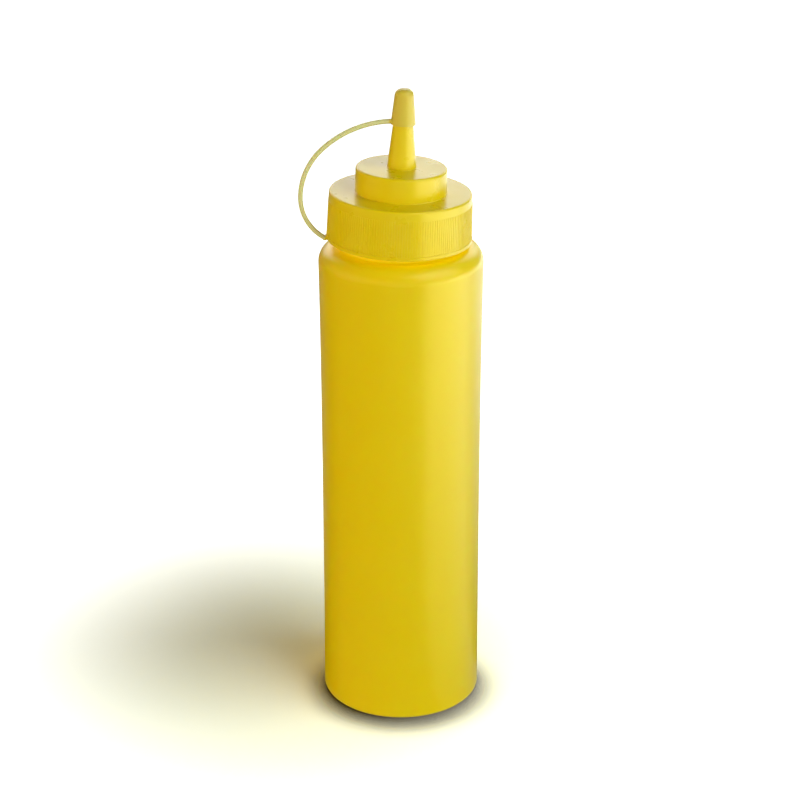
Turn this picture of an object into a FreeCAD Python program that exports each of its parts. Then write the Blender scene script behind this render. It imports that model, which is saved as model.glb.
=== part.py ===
"""Squeeze bottle: a blow-moulded body, a stepped screw closure with a cone nozzle, and a tethered tip cap.

Millimetres, +Z up. The origin is the centre of the ring that the bottle stands on.
The closure sits a little askew on its neck, so it and the tip cap are drawn upright on
their own axis, from the lower edge of the skirt, and share one leaning placement.
"""

import FreeCAD, Part
import math
import os
import re
import Sketcher
from FreeCAD import Placement, Rotation, Vector

# name: (value, what it measures)
SIZES = {
    # bottle
    "body_radius": (33.65, "body just under the shoulder"),
    "base_inset": (0.15, "how much slimmer the body is just above the base"),
    "waist_inset": (0.5, "how much slimmer the body is at the waist"),
    "waist_height": (128, "height of the waist"),
    "shoulder_height": (202.2, "height of the flat on top of the shoulder"),
    "shoulder_round": (6.6, "rounding from the side to the shoulder"),
    "shoulder_land": (0.5, "least flat left on the shoulder beside that rounding"),
    "base_round": (1.8, "rounding from the side to the base"),
    "foot_ring_width": (5.0, "flat ring that the bottle stands on"),
    "push_up": (2.5, "height of the hollow in the middle of the base"),
    "seam_width": (0.8, "pinch-off seam across that hollow"),
    "seam_height": (0.35, "how far the seam stands out"),
    "neck_radius": (25.05, "root of a 53 mm neck finish"),
    "neck_root_round": (1.2, "fillet between the neck and the shoulder"),
    "neck_lip_round": (0.8, "rounding of the mouth"),
    # closure
    "closure_gap": (2.7, "from the shoulder up to the skirt, on the axis"),
    "closure_shift": (-0.77, "offset of the skirt's lower edge along X"),
    "closure_lean": (2.0, "lean of the closure on its thread, towards +X, in degrees"),
    "closure_wall": (1.8, "wall of the skirt and the tower"),
    "neck_clearance": (1.9, "between the neck's root and the bore of the skirt"),
    "seat_clearance": (0.3, "between the mouth and the closure where they come nearest"),
    "skirt_height": (19.8, "height of the ribbed skirt"),
    "skirt_draft": (1.5, "draft of the skirt, in degrees"),
    "skirt_round": (0.9, "rounding of the skirt's upper rim"),
    "lip_height": (1.5, "plain bead at the skirt's lower edge"),
    "lip_depth": (0.25, "how far that bead stands out"),
    "tower_radius": (18.4, "step above the skirt"),
    "tower_height": (10.0, "height of that step"),
    "tower_round": (1.1, "rounding of the step's upper rim"),
    "step_fillet": (0.3, "inner corner at the foot of the step and of the nozzle"),
    "edge_round": (0.3, "small roundings of the nozzle and of the skirt's lower edge"),
    "rib_count": (176, "grip ribs round the skirt"),
    "rib_height": (0.14, "how far a rib stands out"),
    "rib_root": (0.62, "width of a rib at the skirt"),
    "rib_crest": (0.26, "width of a rib at its crest"),
    "rib_bite": (0.4, "depth of a rib's root in the skirt"),
    "rib_margin": (3.8, "plain band between the ribs and the top of the skirt"),
    # nozzle
    "nozzle_foot_radius": (5.8, "short cylinder at the foot of the nozzle"),
    "nozzle_foot_height": (0.9, "height of that cylinder"),
    "nozzle_taper": (5.95, "half angle of the cone above it, in degrees"),
    "nozzle_height": (29.0, "nozzle above the step"),
    "bore_radius": (1.5, "outlet at the tip"),
    "bore_foot_radius": (4.2, "bore where it meets the inside of the step"),
    # tip cap
    "cap_overlap": (11.4, "how far the tip cap comes down over the nozzle"),
    "cap_end_wall": (2.4, "thickness of its domed end"),
    "cap_wall": (0.85, "wall of the tip cap at its rim"),
    "cap_clearance": (0.1, "between the nozzle and the tip cap"),
    "cap_draft": (5.8, "draft of the outside, in degrees"),
    "cap_round": (2.8, "domed end"),
    "cap_end_clearance": (0.4, "between the nozzle's tip and the inside of the cap"),
    # tether strap
    "strap_turn": (8.0, "turn of the strap about the closure's axis, in degrees"),
    "strap_width": (2.4, "width of the strap"),
    "strap_thickness": (1.9, "thickness of the strap"),
    "strap_start_rise": (1.1, "centre of the strap above the rim of the cap"),
    "strap_start_slope": (0.5, "fall of the strap as it leaves the cap, in degrees"),
    "strap_top_turn": (42.6, "turn of the large arc over the top, in degrees"),
    "strap_bow": (11.04, "how far the strap bows out beyond the skirt"),
    "strap_widest": (17.75, "height of that bow above the skirt's lower edge"),
    "strap_end_reach": (1.1, "from the skirt out to the end of the strap"),
    "strap_end_rise": (0.5, "centre of that end above the skirt's lower edge"),
    "lug_height": (4.2, "height of the gusset that carries the strap"),
}

# quantities that follow from the sizes
FORMULAS = {
    # skirt and step: heights are above the skirt's lower edge, which itself is at closure_height
    "closure_height": "shoulder_height + closure_gap",
    "bore_of_skirt": "neck_radius + neck_clearance",
    "bore_depth": "skirt_height - closure_wall",
    "skirt_radius": "bore_of_skirt + closure_wall",
    "skirt_base_radius": "skirt_radius + skirt_height * tan(skirt_draft)",
    "tower_top": "skirt_height + tower_height",
    "tower_bore": "tower_radius - closure_wall",
    "tower_bore_top": "tower_top - closure_wall",
    # nozzle
    "foot_top": "tower_top + nozzle_foot_height",
    "nozzle_top": "tower_top + nozzle_height",
    "nozzle_tip_radius": "nozzle_foot_radius - (nozzle_top - foot_top) * tan(nozzle_taper)",
    # tip cap: its bore follows the nozzle's taper
    "cap_rim": "nozzle_top - cap_overlap",
    "cap_bore_top": "nozzle_top + cap_end_clearance",
    "cap_top": "cap_bore_top + cap_end_wall",
    "cap_bore_tip_radius": "nozzle_tip_radius + cap_clearance - cap_end_clearance * tan(nozzle_taper)",
    "cap_bore_radius": "nozzle_tip_radius + cap_clearance + cap_overlap * tan(nozzle_taper)",
    "cap_radius": "cap_bore_radius + cap_wall",
    "cap_top_radius": "cap_radius - (cap_top - cap_rim) * tan(cap_draft)",
    # strap: it starts inside the wall of the cap and ends a little way out from the skirt
    "strap_start_height": "cap_rim + strap_start_rise",
    "strap_start_radius": "cap_radius - cap_wall",
    "strap_end_radius": "skirt_base_radius + strap_end_reach",
    "strap_reach": "skirt_base_radius + strap_bow",
    # its top arc turns by strap_top_turn, its side arc goes on until it is upright at the widest
    # point, and the two radii make up the run out to that point and the fall down to it
    "top_sine": "sin(strap_start_slope)",
    "top_cosine": "cos(strap_start_slope)",
    "side_sine": "sin(strap_start_slope + strap_top_turn)",
    "side_cosine": "cos(strap_start_slope + strap_top_turn)",
    "strap_run": "strap_reach - strap_start_radius",
    "strap_fall": "strap_start_height - strap_widest",
    "strap_balance": "(side_sine - top_sine) * side_cosine - (1 - side_sine) * (top_cosine - side_cosine)",
    "strap_top_arc": "(strap_run * side_cosine - strap_fall * (1 - side_sine)) / strap_balance",
    "strap_side_arc": "(strap_fall * (side_sine - top_sine)"
    " - strap_run * (top_cosine - side_cosine)) / strap_balance",
    # its last arc starts straight down at the widest point and ends at the lug
    "strap_return": "strap_reach - strap_end_radius",
    "strap_drop": "strap_widest - strap_end_rise",
    "strap_end_arc": "(strap_return ^ 2 + strap_drop ^ 2) / (2 * strap_return)",
    "strap_end_angle": "asin(strap_drop / strap_end_arc)",
    # bottle: the side follows a quadratic curve, pulled in to the waist by its middle pole
    "base_radius": "body_radius - base_inset",
    "side_foot": "base_round * 2",
    "ring_inner_radius": "base_radius - base_round - foot_ring_width",
    "panel_radius": "ring_inner_radius - push_up * 2",
    "seam_reach": "panel_radius - push_up",
    "waist_pole_radius": "body_radius - waist_inset * 2 + base_inset / 2",
    "waist_pole_height": "2 * waist_height - (side_foot + shoulder_height) / 2",
    "shoulder_fillet": "min(shoulder_round; body_radius - neck_radius - neck_root_round - shoulder_land)",
    # the mouth stays clear of the leaning closure all the way round
    "mouth_height": "closure_height + bore_depth * cos(closure_lean) - neck_radius * sin(closure_lean)"
    " - abs(closure_shift) * sin(closure_lean) - seat_clearance",
}

SIDE_RUNS = 8  # straight runs of the outline that follow the curve of the side
SLACK = 1e-4  # when an edge is looked up by its place


def expand(formula):
    """The formula with every quantity written out down to the cells of the sheet."""

    def replace(match):
        word = match.group(0)
        if word in SIZES:
            return "Sizes." + word
        if word in FORMULAS:
            return "(" + expand(FORMULAS[word]) + ")"
        return word

    return re.sub(r"[a-z_]+", replace, str(formula))


def measure(formula):
    """The formula's value, as a plain number."""
    result = sheet.evalExpression(expand(formula))
    return float(getattr(result, "Value", result))


def bind(thing, name, formula):
    """Ties a property or a constraint to the sheet."""
    thing.setExpression(name, expand(formula))


def make_sheet(doc):
    """The driving sizes: one row each, with its alias and what it measures."""
    cells = doc.addObject("Spreadsheet::Sheet", "Sizes")
    for row, (name, (size, meaning)) in enumerate(SIZES.items(), start=1):
        cells.set(f"A{row}", name)
        cells.set(f"B{row}", str(size))
        cells.setAlias(f"B{row}", name)
        cells.set(f"C{row}", meaning)
    doc.recompute()
    return cells


def make_body(label):
    body = doc.addObject("PartDesign::Body", label)
    body.Label = label
    return body


def make_sketch(body, name, role, height=None):
    """A sketch on one of the body's own origin planes, lifted by height if that is given."""
    sketch = body.newObject("Sketcher::SketchObject", name)
    plane = next(p for p in body.Origin.OriginFeatures if p.Role == role)
    sketch.AttachmentSupport = [(plane, "")]
    sketch.MapMode = "FlatFace"
    if height is not None:
        bind(sketch, "AttachmentOffset.Base.z", height)
    return sketch


def pin(sketch, curve, end, x, y):
    """Holds a curve's end (1 first, 2 last, 3 centre) at x, y from the sketch's origin."""
    for kind, axis, formula in (("DistanceX", -2, x), ("DistanceY", -1, y)):
        if str(formula) == "0":
            sketch.addConstraint(Sketcher.Constraint("PointOnObject", curve, end, axis))
        else:
            number = sketch.addConstraint(
                Sketcher.Constraint(kind, -1, 1, curve, end, measure(formula))
            )
            bind(sketch, f"Constraints[{number}]", formula)


def add_arc(sketch, start, via, stop):
    """An arc through three points; a sketch keeps its arcs anticlockwise. Returns it and its two ends."""
    ordered = [start, via, stop]
    if (via - start).cross(stop - via).z < 0:
        ordered.reverse()
    curve = sketch.addGeometry(Part.ArcOfCircle(*ordered), False)
    return (curve, 1, 2) if ordered[0] == start else (curve, 2, 1)


def draw_outline(sketch, corners):
    """A closed outline. Each corner is (x, y), reached by a straight line, or (x, y, via_x, via_y), reached
    by an arc through the via point."""
    places = [Vector(measure(c[0]), measure(c[1]), 0) for c in corners]
    ends = []
    vias = []
    for i, corner in enumerate(corners):
        start, stop = places[i - 1], places[i]
        if len(corner) == 2:
            curve = sketch.addGeometry(Part.LineSegment(start, stop), False)
            ends.append((curve, 1, 2))
            continue
        via = Vector(measure(corner[2]), measure(corner[3]), 0)
        ends.append(add_arc(sketch, start, via, stop))
        middle = sketch.addGeometry(Part.Point(via), True)
        sketch.addConstraint(Sketcher.Constraint("PointOnObject", middle, 1, ends[-1][0]))
        vias.append((middle, 1, corner[2], corner[3]))
    for i, (curve, first, _) in enumerate(ends):
        before, _, last = ends[i - 1]
        sketch.addConstraint(Sketcher.Constraint("Coincident", before, last, curve, first))
    for (curve, _, last), corner in zip(ends, corners):
        pin(sketch, curve, last, corner[0], corner[1])
    for via in vias:
        pin(sketch, *via)


def revolve(body, name, corners, cut=False):
    """Turns an outline in the XZ plane about Z, to add it or to cut it out."""
    sketch = make_sketch(body, name + "Outline", "XZ_Plane")
    draw_outline(sketch, corners)
    kind = "PartDesign::Groove" if cut else "PartDesign::Revolution"
    feature = body.newObject(kind, name)
    feature.Profile = (sketch, [""])
    feature.ReferenceAxis = (sketch, ["V_Axis"])
    feature.Angle = 360
    sketch.Visibility = False
    doc.recompute()
    return feature


def ring_edges(shape, rings):
    """Names of the circular edges at these (radius, height) pairs about the body's axis."""
    names = []
    for radius, height in rings:
        spot = (measure(radius), measure(height))
        found = [
            f"Edge{i}"
            for i, edge in enumerate(shape.Edges, start=1)
            if not edge.Degenerated
            and isinstance(edge.Curve, Part.Circle)
            and abs(edge.Curve.Radius - spot[0]) < SLACK
            and abs(edge.Curve.Center.z - spot[1]) < SLACK
        ]
        if not found:
            raise RuntimeError(f"no round edge of radius {radius} at {height}")
        names += found
    return names


def round_rings(body, name, radius, rings):
    """A fillet on circular edges of the body as it stands."""
    before = body.Tip
    feature = body.newObject("PartDesign::Fillet", name)
    feature.Base = (before, ring_edges(before.Shape, rings))
    bind(feature, "Radius", radius)
    doc.recompute()
    return feature


def pad_across(body, name, corners, width):
    """A plate of this width, middled on the XZ plane, from an outline in that plane."""
    sketch = make_sketch(body, name + "Outline", "XZ_Plane")
    draw_outline(sketch, corners)
    feature = body.newObject("PartDesign::Pad", name)
    feature.Profile = (sketch, [""])
    feature.Midplane = True
    bind(feature, "Length", width)
    sketch.Visibility = False
    doc.recompute()
    return feature


def place_closure(body):
    """Puts a body that is drawn on the closure's axis where the closure leans on the neck."""
    lean = f"rotation(vector(0; 1; 0); {expand('closure_lean')})"
    turn = f"rotation(vector(0; 0; 1); {expand('strap_turn')})"
    spot = f"vector({expand('closure_shift')}; 0; {expand('closure_height')})"
    body.setExpression("Placement", f"placement({spot}; {lean} * {turn})")


def side_corner(share):
    """The corner of the bottle's outline at this share of the curve from the foot up to the shoulder."""
    shares = ((1 - share) ** 2, 2 * share * (1 - share), share**2)
    poles = (
        ("base_radius", "waist_pole_radius", "body_radius"),
        ("side_foot", "waist_pole_height", "shoulder_height"),
    )
    return tuple(" + ".join(f"{s} * {pole}" for s, pole in zip(shares, row)) for row in poles)


def make_bottle():
    """The blow-moulded body: standing ring, pushed-up base, slightly waisted side, shoulder and neck."""
    body = make_body("bottle")
    revolve(
        body,
        "Blank",
        [
            ("0", "mouth_height"),
            ("0", "push_up"),
            ("panel_radius", "push_up"),
            ("ring_inner_radius", "0"),
            ("base_radius", "0"),
            ("base_radius", "side_foot"),
            *(side_corner(run / SIDE_RUNS) for run in range(1, SIDE_RUNS)),
            ("body_radius", "shoulder_height"),
            ("neck_radius", "shoulder_height"),
            ("neck_radius", "mouth_height"),
        ],
    )
    round_rings(body, "BaseRounding", "base_round", [("base_radius", "0")])
    round_rings(body, "PanelRounding", "push_up * 1.5", [("panel_radius", "push_up")])
    round_rings(body, "Shoulder", "shoulder_fillet", [("body_radius", "shoulder_height")])
    round_rings(body, "NeckRoot", "neck_root_round", [("neck_radius", "shoulder_height")])
    round_rings(body, "Mouth", "neck_lip_round", [("neck_radius", "mouth_height")])
    # where the two halves of the blow mould pinched the parison shut
    pad_across(
        body,
        "PinchOff",
        [
            ("- seam_reach", "push_up - seam_height"),
            ("seam_reach", "push_up - seam_height"),
            ("seam_reach", "push_up + seam_height"),
            ("- seam_reach", "push_up + seam_height"),
        ],
        "seam_width",
    )
    return body


def make_closure():
    """The screw closure: drafted skirt with grip ribs, hollow step, cone nozzle, and the lug of the strap."""
    body = make_body("closure")
    revolve(
        body,
        "Outside",
        [
            ("0", "0"),
            ("skirt_base_radius + lip_depth", "0"),
            ("skirt_base_radius + lip_depth", "lip_height"),
            ("skirt_base_radius - lip_height * tan(skirt_draft)", "lip_height"),
            ("skirt_radius", "skirt_height"),
            ("tower_radius", "skirt_height"),
            ("tower_radius", "tower_top"),
            ("nozzle_foot_radius", "tower_top"),
            ("nozzle_foot_radius", "foot_top"),
            ("nozzle_tip_radius", "nozzle_top"),
            ("0", "nozzle_top"),
        ],
    )
    round_rings(body, "SkirtRim", "skirt_round", [("skirt_radius", "skirt_height")])
    round_rings(body, "TowerRim", "tower_round", [("tower_radius", "tower_top")])
    round_rings(
        body,
        "StepFillets",
        "step_fillet",
        [("tower_radius", "skirt_height"), ("nozzle_foot_radius", "tower_top")],
    )
    round_rings(
        body,
        "SmallRounds",
        "edge_round",
        [
            ("nozzle_foot_radius", "foot_top"),
            ("nozzle_tip_radius", "nozzle_top"),
            ("skirt_base_radius + lip_depth", "0"),
        ],
    )
    add_ribs(body)
    add_lug(body)
    revolve(
        body,
        "Inside",
        [
            ("0", "0"),
            ("bore_of_skirt", "0"),
            ("bore_of_skirt", "bore_depth"),
            ("tower_bore", "bore_depth"),
            ("tower_bore", "tower_bore_top"),
            ("bore_foot_radius", "tower_bore_top"),
            ("bore_radius", "nozzle_top"),
            ("0", "nozzle_top"),
        ],
        cut=True,
    )
    place_closure(body)
    return body


def add_ribs(body):
    """Fine upright grip ribs, which follow the draft of the skirt from the bead to below the rim."""
    sections = []
    for end, height in (("Foot", "lip_height"), ("Head", "skirt_height - rib_margin")):
        sketch = make_sketch(body, "Rib" + end, "XY_Plane", height)
        skirt = f"skirt_base_radius - ({height}) * tan(skirt_draft)"
        draw_outline(
            sketch,
            [
                (f"{skirt} - rib_bite", "- rib_root / 2"),
                (f"{skirt} + rib_height", "- rib_crest / 2"),
                (f"{skirt} + rib_height", "rib_crest / 2"),
                (f"{skirt} - rib_bite", "rib_root / 2"),
            ],
        )
        sketch.Visibility = False
        sections.append(sketch)
    rib = body.newObject("PartDesign::AdditiveLoft", "Rib")
    rib.Profile = (sections[0], [""])
    rib.Sections = [(sections[1], [""])]
    rib.Ruled = True
    doc.recompute()
    ring = body.newObject("PartDesign::PolarPattern", "Ribs")
    ring.Originals = [rib]
    ring.Axis = (sections[0], ["N_Axis"])
    ring.Angle = 360
    bind(ring, "Occurrences", "rib_count")
    body.Tip = ring
    doc.recompute()


def strap_end(side):
    """A corner of the strap's end face, in the XZ plane: side is -1 outside the loop and +1 inside it."""
    half = f"{side} * strap_thickness / 2"
    return (
        f"- strap_end_radius + {half} * cos(strap_end_angle)",
        f"strap_end_rise + {half} * sin(strap_end_angle)",
    )


def add_lug(body):
    """The small gusset on the skirt's lower edge whose face meets the end of the strap."""
    wall_middle = "- bore_of_skirt - closure_wall / 2"
    pad_across(
        body,
        "Lug",
        [strap_end(-1), (wall_middle, "0"), (wall_middle, "lug_height"), strap_end(1)],
        "strap_width",
    )


def make_tip_cap():
    """The tip cap and its tether, one moulding: a domed sleeve over the nozzle and a strap to the lug."""
    body = make_body("tip_cap")
    revolve(
        body,
        "Sleeve",
        [
            ("0", "cap_rim"),
            ("cap_radius", "cap_rim"),
            ("cap_top_radius", "cap_top"),
            ("0", "cap_top"),
        ],
    )
    round_rings(body, "Dome", "cap_round", [("cap_top_radius", "cap_top")])
    add_strap(body)
    revolve(
        body,
        "Hollow",
        [
            ("0", "cap_rim"),
            ("cap_bore_radius", "cap_rim"),
            ("cap_bore_tip_radius", "cap_bore_top"),
            ("0", "cap_bore_top"),
        ],
        cut=True,
    )
    place_closure(body)
    return body


def arc_between(centre, first, last):
    """An anticlockwise arc about centre from first to last."""
    spokes = [first - centre, last - centre]
    angles = [math.atan2(spoke.y, spoke.x) % (2 * math.pi) for spoke in spokes]
    circle = Part.Circle(centre, Vector(0, 0, 1), spokes[0].Length)
    return Part.ArcOfCircle(circle, *angles)


def draw_strap_path(path):
    """Three arcs that run into each other: over the top, down the side, and back in to the lug."""
    start = ("- strap_start_radius", "strap_start_height")
    top = (
        "strap_top_arc * top_sine - strap_start_radius",
        "strap_start_height - strap_top_arc * top_cosine",
    )
    widest = ("- strap_reach", "strap_widest")
    end = ("- strap_end_radius", "strap_end_rise")
    start_at, top_at, widest_at, end_at = (
        Vector(measure(x), measure(y), 0) for x, y in (start, top, widest, end)
    )
    side_at = widest_at + Vector(measure("strap_side_arc"), 0, 0)
    joint_at = top_at + (side_at - top_at).normalize() * measure("strap_top_arc")
    return_at = widest_at + Vector(measure("strap_end_arc"), 0, 0)
    path.addGeometry(arc_between(top_at, start_at, joint_at), False)
    path.addGeometry(arc_between(side_at, joint_at, widest_at), False)
    path.addGeometry(arc_between(return_at, widest_at, end_at), False)
    path.addConstraint(Sketcher.Constraint("Tangent", 0, 2, 1, 1))
    path.addConstraint(Sketcher.Constraint("Tangent", 1, 2, 2, 1))
    path.addConstraint(Sketcher.Constraint("Horizontal", 1, 3, 1, 2))
    pin(path, 0, 1, *start)
    pin(path, 0, 3, *top)
    pin(path, 1, 2, *widest)
    pin(path, 2, 2, *end)


def add_strap(body):
    """The tether: a flat strap with round sides, swept from the sleeve to the lug."""
    path = make_sketch(body, "StrapPath", "XZ_Plane")
    draw_strap_path(path)
    # the section stands square to the start of the path
    section = make_sketch(body, "StrapSection", "YZ_Plane", "- strap_start_radius")
    bind(section, "AttachmentOffset.Base.y", "strap_start_height")
    section.AttachmentOffset = Placement(section.AttachmentOffset.Base, Rotation(Vector(-1, 0, 0), 1))
    bind(section, "AttachmentOffset.Rotation.Angle", "strap_start_slope")
    flat, half = "(strap_width - strap_thickness) / 2", "strap_thickness / 2"
    draw_outline(
        section,
        [
            (f"- {flat}", f"- {half}", "- strap_width / 2", "0"),
            (flat, f"- {half}"),
            (flat, half, "strap_width / 2", "0"),
            (f"- {flat}", half),
        ],
    )
    doc.recompute()
    strap = body.newObject("PartDesign::AdditivePipe", "Strap")
    strap.Profile = (section, [""])
    strap.Spine = (path, [])
    path.Visibility = False
    section.Visibility = False
    doc.recompute()


def find_faults():
    """Labels of what failed: FreeCAD can leave a feature broken without stopping."""
    broken = [o.Label for o in doc.Objects if {"Invalid", "Error"} & set(o.State)]
    broken += [b.Label for b in bodies if b.Shape.isNull() or not b.Shape.isValid()]
    return broken


doc = FreeCAD.newDocument("SqueezeBottle")
sheet = make_sheet(doc)
bodies = [make_bottle(), make_closure(), make_tip_cap()]
doc.recompute()
faults = find_faults()
if faults:
    raise RuntimeError(f"these failed: {', '.join(faults)}")
os.makedirs("parts", exist_ok=True)
for body in bodies:
    body.Shape.exportStep(f"parts/{body.Label}.step")
    print(f"{body.Label}: {body.Shape.Volume:.0f} mm3, {len(body.Shape.Solids)} solid")
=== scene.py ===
"""Looks of a yellow squeeze bottle: blow-moulded body, stepped screw closure and tethered tip cap.

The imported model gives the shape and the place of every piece, in metres with +Z up.
This script gives the pieces their moulded plastic finish and sets up the studio and the camera.
"""

import logging
import math
from dataclasses import dataclass, field
from enum import Enum
from typing import Any

import bpy
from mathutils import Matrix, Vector

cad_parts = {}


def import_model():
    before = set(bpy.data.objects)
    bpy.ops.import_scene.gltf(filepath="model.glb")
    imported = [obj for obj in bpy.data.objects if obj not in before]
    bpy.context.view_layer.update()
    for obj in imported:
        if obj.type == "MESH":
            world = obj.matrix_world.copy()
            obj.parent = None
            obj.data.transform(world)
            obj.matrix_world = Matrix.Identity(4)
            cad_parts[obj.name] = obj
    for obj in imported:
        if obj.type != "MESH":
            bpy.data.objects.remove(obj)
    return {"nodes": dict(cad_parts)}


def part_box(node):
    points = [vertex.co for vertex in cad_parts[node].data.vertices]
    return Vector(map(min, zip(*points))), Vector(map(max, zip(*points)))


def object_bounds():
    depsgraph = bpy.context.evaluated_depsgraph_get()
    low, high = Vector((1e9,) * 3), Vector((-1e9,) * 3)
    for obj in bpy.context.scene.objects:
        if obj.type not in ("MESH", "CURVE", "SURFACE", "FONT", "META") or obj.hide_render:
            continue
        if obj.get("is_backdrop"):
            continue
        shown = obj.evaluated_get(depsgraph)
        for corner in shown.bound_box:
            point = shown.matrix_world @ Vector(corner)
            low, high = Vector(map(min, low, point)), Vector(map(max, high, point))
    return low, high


LOG = logging.getLogger("squeeze_bottle")
MM = 0.001
# the curve of sRGB: where its straight toe ends, the toe's slope, its lift and its power
SRGB_TOE, SRGB_SLOPE, SRGB_LIFT, SRGB_POWER = 0.04045, 12.92, 0.055, 2.4


def linear(colour: str) -> tuple[float, float, float, float]:
    """Turns an sRGB hex colour to linear light.

    Args:
        colour: Six hex digits after a hash sign.

    Returns:
        Red, green, blue and an alpha of one.
    """
    channels = [int(colour[i : i + 2], 16) / 255 for i in (1, 3, 5)]
    red, green, blue = (
        c / SRGB_SLOPE if c <= SRGB_TOE else ((c + SRGB_LIFT) / (1 + SRGB_LIFT)) ** SRGB_POWER
        for c in channels
    )
    return red, green, blue, 1.0


def add_node(
    tree: bpy.types.NodeTree,
    kind: str,
    settings: dict[str, Any] | None = None,
    inputs: dict[str | int, Any] | None = None,
) -> bpy.types.Node:
    """Adds a shader node.

    Args:
        tree: The node tree that gets it.
        kind: Its type, such as ShaderNodeMix.
        settings: Attributes to set on it.
        inputs: What its inputs hold: a socket to link, or a plain value.

    Returns:
        The new node.
    """
    node = tree.nodes.new(kind)
    for name, value in (settings or {}).items():
        setattr(node, name, value)
    for name, value in (inputs or {}).items():
        if isinstance(value, bpy.types.NodeSocket):
            tree.links.new(value, node.inputs[name])
        else:
            node.inputs[name].default_value = value
    return node


def start_material(name: str) -> tuple[bpy.types.Material, bpy.types.NodeTree]:
    """Starts a node material with an empty tree.

    Args:
        name: The real material's name.

    Returns:
        The material and its tree.
    """
    material = bpy.data.materials.new(name)
    material.use_nodes = True
    material.node_tree.nodes.clear()
    return material, material.node_tree


def add_sheet(name: str, corners: list[tuple[float, float, float]]) -> bpy.types.Object:
    """Adds a flat sheet that belongs to the stage.

    Args:
        name: Its name.
        corners: Its corners, in order.

    Returns:
        The sheet.
    """
    mesh = bpy.data.meshes.new(name)
    mesh.from_pydata(corners, [], [tuple(range(len(corners)))])
    sheet = bpy.data.objects.new(name, mesh)
    bpy.context.scene.collection.objects.link(sheet)
    sheet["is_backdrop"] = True
    LOG.info("%s laid", name)
    return sheet


class Moulding(Enum):
    """How a piece of LDPE was made, which decides its surface."""

    BLOWN = "blow-moulded"
    INJECTED = "injection-moulded"


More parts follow.
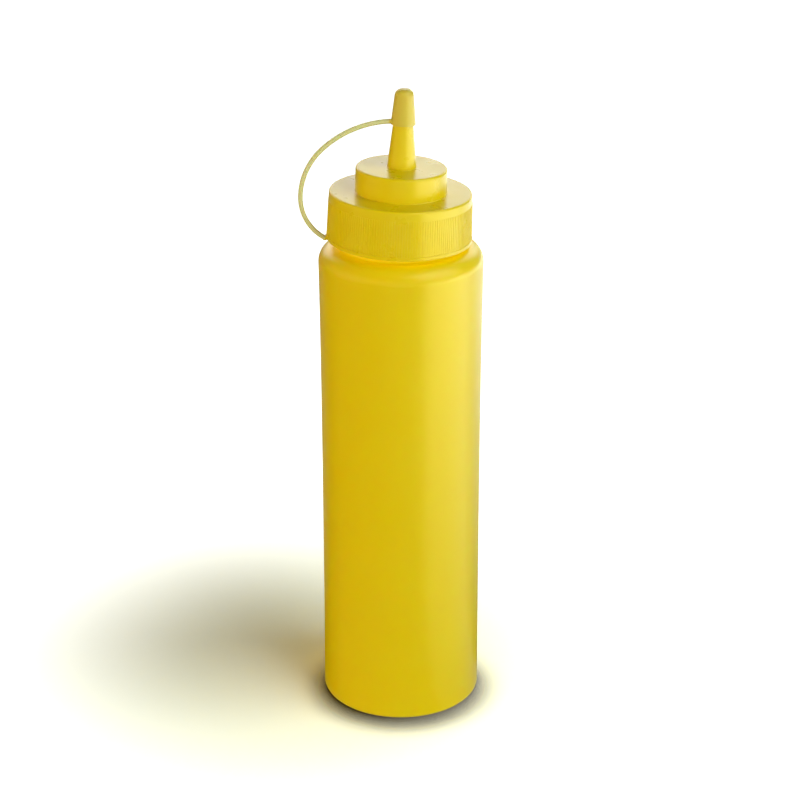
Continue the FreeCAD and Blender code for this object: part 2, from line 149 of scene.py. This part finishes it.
@dataclass(frozen=True)
class MouldedLdpe:
    """Pigmented low-density polyethylene: a waxy, slightly translucent plastic.

    The waxiness gives the eye soft edges between light and shade, and a broad, milky sheen.
    glow_mm is how far light spreads inside, glow_spread how that differs between red, green and
    blue. The cloud, patch, grain and wall sizes are for its patterns. painted_strap_colour is a
    paler colour painted left of painted_strap_past_mm, for the light through a thin strap and the
    sheen on its top.
    painted_glow is the strength of a painted glow, in place of the light that comes through the
    closure, on what it covers within painted_glow_cover_mm, above painted_glow_from_mm.
    """

    name: str
    colour: str
    deep_colour: str
    moulding: Moulding
    roughness: float
    roughness_swing: float = 0.04
    refraction: float = 1.51
    sheen_colour: str = "#FFFDBC"
    glow_mm: float = 6.0
    glow_weight: float = 0.4
    glow_spread: tuple[float, float, float] = (1.0, 0.35, 0.1)
    cloud_mm: float = 25.0
    patch_mm: float = 9.0
    grain_mm: float = 0.7
    grain_depth_mm: float = 0.012
    wall_wave_mm: float = 22.0
    wall_depth_mm: float = 0.5
    wall_stretch: float = 0.12
    # painted light: a paler colour on the strap, for the light through it and the sheen on its top
    painted_strap_colour: str | None = None
    painted_strap_past_mm: float = 0.0
    painted_strap_blend_mm: float = 1.0
    # painted light: a glow under the closure, in place of the light that comes through it
    painted_glow: float = 0.0
    painted_glow_from_mm: float = 0.0
    painted_glow_rise_mm: float = 12.0
    painted_glow_cover_mm: float = 9.0

    def build(self) -> bpy.types.Material:
        """Makes the material.

        Returns:
            A node material in object coordinates, which are metres in the row frame.
        """
        material, tree = start_material(self.name)
        place = add_node(tree, "ShaderNodeTexCoord").outputs["Object"]
        pigment = self.draw_pigment(tree, place)
        shine = self.draw_shine(tree, place)
        shader = add_node(
            tree,
            "ShaderNodeBsdfPrincipled",
            {"subsurface_method": "RANDOM_WALK"},
            {
                "Base Color": pigment,
                "Roughness": shine,
                "IOR": self.refraction,
                "Specular Tint": linear(self.sheen_colour),
                "Subsurface Weight": self.glow_weight,
                "Subsurface Radius": self.glow_spread,
                "Subsurface Scale": self.glow_mm * MM,
                "Normal": self.draw_relief(tree, place),
            },
        )
        # painted light: the covered shoulder glows, in place of the light through the closure
        if self.painted_glow:
            tree.links.new(pigment, shader.inputs["Emission Color"])
            tree.links.new(self.draw_painted_glow(tree, place), shader.inputs["Emission Strength"])
        add_node(tree, "ShaderNodeOutputMaterial", None, {"Surface": shader.outputs["BSDF"]})
        return material

    def draw_painted_glow(
        self, tree: bpy.types.NodeTree, place: bpy.types.NodeSocket
    ) -> bpy.types.NodeSocket:
        """A painted glow on the covered shoulder, in place of the light that comes through the
        translucent closure.

        Args:
            tree: The material's node tree.
            place: Object coordinates.

        Returns:
            The strength socket.
        """
        covered = add_node(
            tree,
            "ShaderNodeAmbientOcclusion",
            {"samples": 8},
            {"Distance": self.painted_glow_cover_mm * MM},
        )
        covered_glow = add_node(
            tree,
            "ShaderNodeMapRange",
            None,
            {
                "Value": covered.outputs["AO"],
                "From Min": 1.0,
                "From Max": 0.0,
                "To Max": self.painted_glow,
            },
        )
        rise = add_node(tree, "ShaderNodeSeparateXYZ", None, {"Vector": place})
        high = add_node(
            tree,
            "ShaderNodeMapRange",
            {"interpolation_type": "SMOOTHSTEP"},
            {
                "Value": rise.outputs["Z"],
                "From Min": self.painted_glow_from_mm * MM,
                "From Max": (self.painted_glow_from_mm + self.painted_glow_rise_mm) * MM,
            },
        )
        return add_node(
            tree,
            "ShaderNodeMath",
            {"operation": "MULTIPLY"},
            {0: covered_glow.outputs["Result"], 1: high.outputs["Result"]},
        ).outputs["Value"]

    def draw_pigment(
        self, tree: bpy.types.NodeTree, place: bpy.types.NodeSocket
    ) -> bpy.types.NodeSocket:
        """Colour: the pigment is mixed a little unevenly, in clouds. Where painted_strap_colour is
        given, the strap is painted paler, for the light through its thin section and the sheen on
        it.

        Args:
            tree: The material's node tree.
            place: Object coordinates.

        Returns:
            The colour socket.
        """
        clouds = add_node(
            tree,
            "ShaderNodeTexNoise",
            None,
            {"Vector": place, "Scale": 1 / (self.cloud_mm * MM), "Detail": 2.0, "Roughness": 0.4},
        )
        mix = add_node(
            tree,
            "ShaderNodeMix",
            {"data_type": "RGBA"},
            {"Factor": clouds.outputs["Fac"], 6: linear(self.colour), 7: linear(self.deep_colour)},
        )
        if self.painted_strap_colour is None:
            return mix.outputs[2]
        # painted light: left of painted_strap_past_mm the strap is coloured paler, for light
        # through it and its sheen
        out = add_node(tree, "ShaderNodeSeparateXYZ", None, {"Vector": place})
        thin = add_node(
            tree,
            "ShaderNodeMapRange",
            {"interpolation_type": "SMOOTHSTEP"},
            {
                "Value": out.outputs["X"],
                "From Min": self.painted_strap_past_mm * MM,
                "From Max": (self.painted_strap_past_mm - self.painted_strap_blend_mm) * MM,
            },
        )
        paler = add_node(
            tree,
            "ShaderNodeMix",
            {"data_type": "RGBA"},
            {"Factor": thin.outputs["Result"], 6: mix.outputs[2], 7: linear(self.painted_strap_colour)},
        )
        return paler.outputs[2]

    def draw_shine(
        self, tree: bpy.types.NodeTree, place: bpy.types.NodeSocket
    ) -> bpy.types.NodeSocket:
        """Roughness: slightly duller and slightly smoother patches.

        Args:
            tree: The material's node tree.
            place: Object coordinates.

        Returns:
            The roughness socket.
        """
        patches = add_node(
            tree,
            "ShaderNodeTexNoise",
            None,
            {"Vector": place, "Scale": 1 / (self.patch_mm * MM), "Detail": 3.0, "Roughness": 0.5},
        )
        spread = add_node(
            tree,
            "ShaderNodeMapRange",
            None,
            {
                "Value": patches.outputs["Fac"],
                "From Min": 0.3,
                "From Max": 0.7,
                "To Min": self.roughness - self.roughness_swing,
                "To Max": self.roughness + self.roughness_swing,
            },
        )
        return spread.outputs["Result"]

    def draw_relief(
        self, tree: bpy.types.NodeTree, place: bpy.types.NodeSocket
    ) -> bpy.types.NodeSocket:
        """Relief: a fine mould texture, and on a blown wall the faint unevenness of its thickness.

        Args:
            tree: The material's node tree.
            place: Object coordinates.

        Returns:
            The normal socket.
        """
        grain = add_node(
            tree,
            "ShaderNodeTexNoise",
            None,
            {"Vector": place, "Scale": 1 / (self.grain_mm * MM), "Detail": 2.0, "Roughness": 0.5},
        )
        fine = add_node(
            tree,
            "ShaderNodeBump",
            None,
            {
                "Height": grain.outputs["Fac"],
                "Strength": 0.35,
                "Distance": self.grain_depth_mm * MM,
            },
        )
        if self.moulding is Moulding.INJECTED:
            return fine.outputs["Normal"]
        # the wall of a blown body varies slowly along its height and faster round it
        stretched = add_node(
            tree,
            "ShaderNodeMapping",
            None,
            {"Vector": place, "Scale": (1.0, 1.0, self.wall_stretch)},
        )
        wall = add_node(
            tree,
            "ShaderNodeTexNoise",
            None,
            {
                "Vector": stretched.outputs["Vector"],
                "Scale": 1 / (self.wall_wave_mm * MM),
                "Detail": 1.0,
                "Roughness": 0.4,
            },
        )
        slow = add_node(
            tree,
            "ShaderNodeBump",
            None,
            {
                "Height": wall.outputs["Fac"],
                "Strength": 0.5,
                "Distance": self.wall_depth_mm * MM,
                "Normal": fine.outputs["Normal"],
            },
        )
        return slow.outputs["Normal"]


@dataclass
class MouldedPiece:
    """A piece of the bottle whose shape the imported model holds."""

    node: bpy.types.Object
    finish: MouldedLdpe

    def dress(self) -> None:
        """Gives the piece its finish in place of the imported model's plain one."""
        material = self.finish.build()
        self.node.data.materials.clear()
        self.node.data.materials.append(material)
        LOG.info("%s: %s LDPE, %s", self.node.name, self.finish.moulding.value, self.finish.name)


@dataclass
class BottleBody(MouldedPiece):
    """The blow-moulded body."""

    finish: MouldedLdpe = field(
        default=MouldedLdpe(
            name="blown_yellow_ldpe",
            colour="#DABD00",
            deep_colour="#D8B900",
            moulding=Moulding.BLOWN,
            roughness=0.33,
            # painted light: the shoulder under the closure glows
            painted_glow=0.52,
            painted_glow_from_mm=180.0,
        )
    )


@dataclass
class Closure(MouldedPiece):
    """The stepped screw closure with its ribs and nozzle."""

    finish: MouldedLdpe = field(
        default=MouldedLdpe(
            name="injected_yellow_ldpe",
            colour="#D6BA00",
            deep_colour="#D4B700",
            moulding=Moulding.INJECTED,
            roughness=0.30,
            glow_mm=2.0,
            glow_weight=0.2,
        )
    )


@dataclass
class TipCap(MouldedPiece):
    """The tip cap and its strap, which is painted paler, for the light through it and its sheen.
    """

    finish: MouldedLdpe = field(
        default=MouldedLdpe(
            name="injected_thin_yellow_ldpe",
            colour="#C8B03A",
            deep_colour="#C4AB32",
            moulding=Moulding.INJECTED,
            roughness=0.34,
            glow_mm=1.5,
            glow_weight=0.3,
            # painted light: the strap is coloured paler, for light through it and its sheen
            painted_strap_colour="#C8C27E",
            painted_strap_past_mm=-4.2,
        )
    )


class Reach(Enum):
    """What a soft box lights."""

    EVERYTHING = "everything"
    MATT_OF_BOTTLE = "only the matt shade of the bottle"
    SHEEN = "only the sheen"


@dataclass(frozen=True)
class SoftBox:
    """A rectangular lamp.

    place is the middle of its face and aim is what it points at, in metres. radiance is how bright
    its face is, where one is white.
    """

    name: str
    place: tuple[float, float, float]
    aim: tuple[float, float, float]
    width: float
    height: float
    radiance: float
    reach: Reach
    colour: str = "#FFFFFF"

    def hang(self, bottle: bpy.types.Collection, body: bpy.types.Collection) -> None:
        """Hangs the soft box.

        Args:
            bottle: The pieces that a lamp for the bottle alone may light.
            body: What shades them from it; the light goes on through the thin closure.
        """
        lamp = bpy.data.lights.new(self.name, "AREA")
        lamp.shape = "RECTANGLE"
        lamp.size = self.width
        lamp.size_y = self.height
        lamp.color = linear(self.colour)[:3]
        # a lamp of this power has that radiance over its face
        lamp.energy = self.radiance * math.pi * self.width * self.height
        holder = bpy.data.objects.new(self.name, lamp)
        holder.location = self.place
        way = Vector(self.aim) - Vector(self.place)
        holder.rotation_euler = way.to_track_quat("-Z", "Y").to_euler()
        holder.visible_camera = False
        if self.reach is Reach.SHEEN:
            holder.visible_diffuse = False
            holder.visible_transmission = False
        if self.reach is Reach.MATT_OF_BOTTLE:
            holder.visible_glossy = False
            holder.light_linking.receiver_collection = bottle
            holder.light_linking.blocker_collection = body
        bpy.context.scene.collection.objects.link(holder)
        LOG.info("%s hung for %s", self.name, self.reach.value)


@dataclass(frozen=True)
class FloorCard:
    """A card on the table, round the bottle, that shows in the sheen alone.

    It runs from start to stop, in degrees round from +X, and from inner_share of the body's radius
    out to outer. It glows with near_light at the bottle and far_light a metre away.
    """

    name: str
    start: float
    stop: float
    near_light: float = 0.0
    far_light: float = 0.0
    inner_share: float = 1.05
    outer: float = 3.0
    height: float = 0.0005
    steps: int = 24

    def lay(self, radius: float) -> None:
        """Lays the card.

        Args:
            radius: The radius of the bottle's body, which the card stays a little clear of.
        """
        inner = radius * self.inner_share
        turns = [
            math.radians(self.start + (self.stop - self.start) * i / self.steps)
            for i in range(self.steps + 1)
        ]
        ring = [(inner * math.cos(t), inner * math.sin(t), self.height) for t in turns]
        ring += [
            (self.outer * math.cos(t), self.outer * math.sin(t), self.height)
            for t in reversed(turns)
        ]
        card = add_sheet(self.name, ring)
        material, tree = start_material(self.name)
        place = add_node(tree, "ShaderNodeTexCoord").outputs["Object"]
        away = add_node(tree, "ShaderNodeVectorMath", {"operation": "LENGTH"}, {0: place})
        light = add_node(
            tree,
            "ShaderNodeMapRange",
            None,
            {
                "Value": away.outputs["Value"],
                "From Min": radius,
                "From Max": 1.0,
                "To Min": self.near_light,
                "To Max": self.far_light,
            },
        )
        glow = add_node(
            tree,
            "ShaderNodeEmission",
            None,
            {"Color": (1, 1, 1, 1), "Strength": light.outputs["Result"]},
        )
        add_node(tree, "ShaderNodeOutputMaterial", None, {"Surface": glow.outputs["Emission"]})
        card.data.materials.append(material)
        card.visible_camera = False
        card.visible_diffuse = False
        card.visible_transmission = False
        card.visible_shadow = False


@dataclass
class Studio:
    """A white table in a soft white surround, a key to the right, fills, and cards for the sheen.

    top and radius are the bottle's. The table's gain is how much brighter the camera sees its lit
    part. The contact sizes are for the shade close to the base, which deepens from contact_open to
    contact_shut, and the shadow sizes for where the cast shadow gives way to plain white. overhead
    and horizon are how bright the surround is there.
    """

    top: float
    radius: float
    table_side: float = 8.0
    table_grey: float = 0.8
    # painted light: the gain is warmer than white, which tints the shadow yellow for the light
    # from the bottle
    table_gain: tuple[float, float, float] = (2.0, 1.92, 1.5)
    contact_reach: float = 0.02
    contact_lean: tuple[float, float, float] = (-0.06, 0.4, 0.9)
    contact_open: float = 0.93
    contact_shut: float = 0.45
    contact_least: float = 0.05
    contact_dark: tuple[float, float, float] = (0.05, 0.03, 0.0)
    shadow_middle: tuple[float, float] = (-0.04, 0.015)
    shadow_inner: float = 0.04
    shadow_outer: float = 0.2
    overhead: float = 0.12
    horizon: float = 0.2
    horizon_width: float = 0.36

    def build(self, pieces: dict[str, bpy.types.Object]) -> None:
        """Makes the table, the surround, the lamps and the cards.

        Args:
            pieces: The pieces of the bottle by name.
        """
        bottle = bpy.data.collections.new("lit_by_fills")
        for name in sorted(pieces):
            bottle.objects.link(pieces[name])
        body = bpy.data.collections.new("shades_from_fills")
        body.objects.link(pieces["bottle"])
        self.lay_table()
        # the edge of the sheen down the front is where the black card meets the bright one
        for card in (
            FloorCard("black_card", start=-56, stop=-222),
            FloorCard("bright_card", start=14, stop=-56, near_light=0.35, far_light=6.4),
            FloorCard("side_card", start=80, stop=14, far_light=3.2),
        ):
            card.lay(self.radius)
        self.light_surround()
        for lamp in self.lamps():
            lamp.hang(bottle, body)

    def lamps(self) -> list[SoftBox]:
        """The lamps, from the key to the fills."""
        middle = (0.0, 0.0, self.top / 2)
        upper = (0.0, 0.0, self.top)
        side, low, turned = 0.9, 0.15, 0.35
        matt = Reach.MATT_OF_BOTTLE
        return [
            SoftBox(
                name="key",
                place=(0.44, -0.28, 0.62),
                aim=middle,
                width=0.7,
                height=0.58,
                radiance=3.05,
                reach=Reach.EVERYTHING,
                colour="#EAF8FF",
            ),
            SoftBox(
                name="back",
                place=(0.0, 1.1, 0.72),
                aim=upper,
                width=1.8,
                height=0.8,
                radiance=2.4,
                reach=Reach.SHEEN,
            ),
            SoftBox(
                name="fill_left",
                place=(-side, -turned, 0.3),
                aim=middle,
                width=0.9,
                height=0.7,
                radiance=3.5,
                reach=matt,
                colour="#FFEDDA",
            ),
            SoftBox(
                name="fill_front",
                place=(0.0, -side, low),
                aim=middle,
                width=0.9,
                height=0.5,
                radiance=2.5,
                reach=matt,
            ),
            SoftBox(
                name="fill_right",
                place=(side, -turned, low),
                aim=middle,
                width=0.9,
                height=0.5,
                radiance=2.7,
                reach=matt,
                colour="#E4F4FF",
            ),
            SoftBox(
                name="fill_rear",
                place=(0.0, side, low),
                aim=middle,
                width=0.9,
                height=0.5,
                radiance=3.8,
                reach=matt,
            ),
        ]

    def lay_table(self) -> None:
        """The table: the camera sees its lit part as plain white, and the shadow on it."""
        half = self.table_side / 2
        corners = [(-half, -half, 0), (half, -half, 0), (half, half, 0), (-half, half, 0)]
        table = add_sheet("table", corners)
        material, tree = start_material("white_table")
        seen = add_node(tree, "ShaderNodeLightPath").outputs["Is Camera Ray"]
        grey = self.table_grey
        # close to the base the table sees little but the bottle, the more so in front of it
        lean = add_node(
            tree, "ShaderNodeCombineXYZ", None, dict(zip("XYZ", self.contact_lean, strict=True))
        )
        near = add_node(
            tree,
            "ShaderNodeAmbientOcclusion",
            {"samples": 12},
            {"Distance": self.contact_reach, "Normal": lean.outputs["Vector"]},
        )
        shade = add_node(
            tree,
            "ShaderNodeMapRange",
            {"interpolation_type": "SMOOTHSTEP"},
            {
                "Value": near.outputs["AO"],
                "From Min": self.contact_shut,
                "From Max": self.contact_open,
                "To Min": self.contact_least,
            },
        )
        # painted light: the warm gain tints the shadow on the table yellow
        lit = add_node(
            tree,
            "ShaderNodeMix",
            {"data_type": "RGBA"},
            {
                "Factor": shade.outputs["Result"],
                6: (*self.contact_dark, 1),
                7: (*self.table_gain, 1),
            },
        )
        white = add_node(
            tree,
            "ShaderNodeMix",
            {"data_type": "RGBA"},
            {"Factor": seen, 6: (grey, grey, grey, 1), 7: lit.outputs[2]},
        )
        matt = add_node(tree, "ShaderNodeBsdfDiffuse", None, {"Color": white.outputs[2]})
        # away from the shadow the table is plain white to the camera
        place = add_node(tree, "ShaderNodeTexCoord").outputs["Object"]
        away = add_node(
            tree,
            "ShaderNodeVectorMath",
            {"operation": "DISTANCE"},
            {0: place, 1: (*self.shadow_middle, 0)},
        )
        fade = add_node(
            tree,
            "ShaderNodeMapRange",
            {"interpolation_type": "SMOOTHSTEP"},
            {
                "Value": away.outputs["Value"],
                "From Min": self.shadow_inner,
                "From Max": self.shadow_outer,
            },
        )
        far = add_node(
            tree, "ShaderNodeMath", {"operation": "MULTIPLY"}, {0: fade.outputs["Result"], 1: seen}
        )
        glow = add_node(
            tree, "ShaderNodeEmission", None, {"Color": (1, 1, 1, 1), "Strength": far.outputs[0]}
        )
        both = add_node(
            tree,
            "ShaderNodeAddShader",
            None,
            {0: matt.outputs["BSDF"], 1: glow.outputs["Emission"]},
        )
        add_node(tree, "ShaderNodeOutputMaterial", None, {"Surface": both.outputs["Shader"]})
        table.data.materials.append(material)

    def light_surround(self) -> None:
        """A dim tent: a little brighter round the horizon, and white to the camera."""
        world = bpy.data.worlds.new("surround")
        world.use_nodes = True
        tree = world.node_tree
        tree.nodes.clear()
        path = add_node(tree, "ShaderNodeLightPath")
        way = add_node(tree, "ShaderNodeTexCoord").outputs["Generated"]
        rise = add_node(tree, "ShaderNodeSeparateXYZ", None, {"Vector": way}).outputs["Z"]
        fall = add_node(
            tree,
            "ShaderNodeMapRange",
            {"interpolation_type": "SMOOTHSTEP"},
            {
                "Value": rise,
                "From Min": 0.0,
                "From Max": self.horizon_width,
                "To Min": self.horizon,
                "To Max": self.overhead,
            },
        )
        strength = add_node(
            tree,
            "ShaderNodeMix",
            None,
            {0: path.outputs["Is Camera Ray"], 2: fall.outputs["Result"], 3: 1.0},
        )
        light = add_node(
            tree,
            "ShaderNodeBackground",
            None,
            {"Color": (1, 1, 1, 1), "Strength": strength.outputs[0]},
        )
        add_node(tree, "ShaderNodeOutputWorld", None, {"Surface": light.outputs["Background"]})
        bpy.context.scene.world = world


@dataclass
class ViewCamera:
    """A long lens from the front and above, level to left and right."""

    body_radius: float
    distance: float = 23.96
    rise: float = 14.10
    tilt_down: float = math.radians(22.884)
    lens: float = 94.1
    sensor: float = 36.0
    shift_x: float = -0.00125
    shift_y: float = 0.00025

    def build(self) -> None:
        """Places the camera; distance and rise are in radii of the body."""
        camera = bpy.data.cameras.new("camera")
        camera.lens = self.lens
        camera.sensor_width = self.sensor
        camera.shift_x = self.shift_x
        camera.shift_y = self.shift_y
        holder = bpy.data.objects.new("camera", camera)
        holder.location = (0, -self.distance * self.body_radius, self.rise * self.body_radius)
        holder.rotation_euler = (math.pi / 2 - self.tilt_down, 0, 0)
        bpy.context.scene.collection.objects.link(holder)
        bpy.context.scene.camera = holder


def as_lists(corners: tuple[Vector, Vector]) -> list[list[float]]:
    """Two corners as plain lists."""
    return [list(corner) for corner in corners]


def main() -> None:
    """Builds the classes in order."""
    logging.basicConfig(level=logging.INFO, format="%(name)s: %(message)s")
    bpy.context.scene.view_settings.view_transform = "Standard"
    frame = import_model()
    cad_box = as_lists(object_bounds())
    nodes = frame["nodes"]
    body_low, body_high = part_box("bottle")
    for piece in (
        BottleBody(nodes["bottle"]),
        Closure(nodes["closure"]),
        TipCap(nodes["tip_cap"]),
    ):
        piece.dress()
    radius = (body_high.x - body_low.x) / 2
    Studio(top=cad_box[1][2], radius=radius).build(nodes)
    ViewCamera(body_radius=radius).build()


if __name__ == "__main__":
    main()
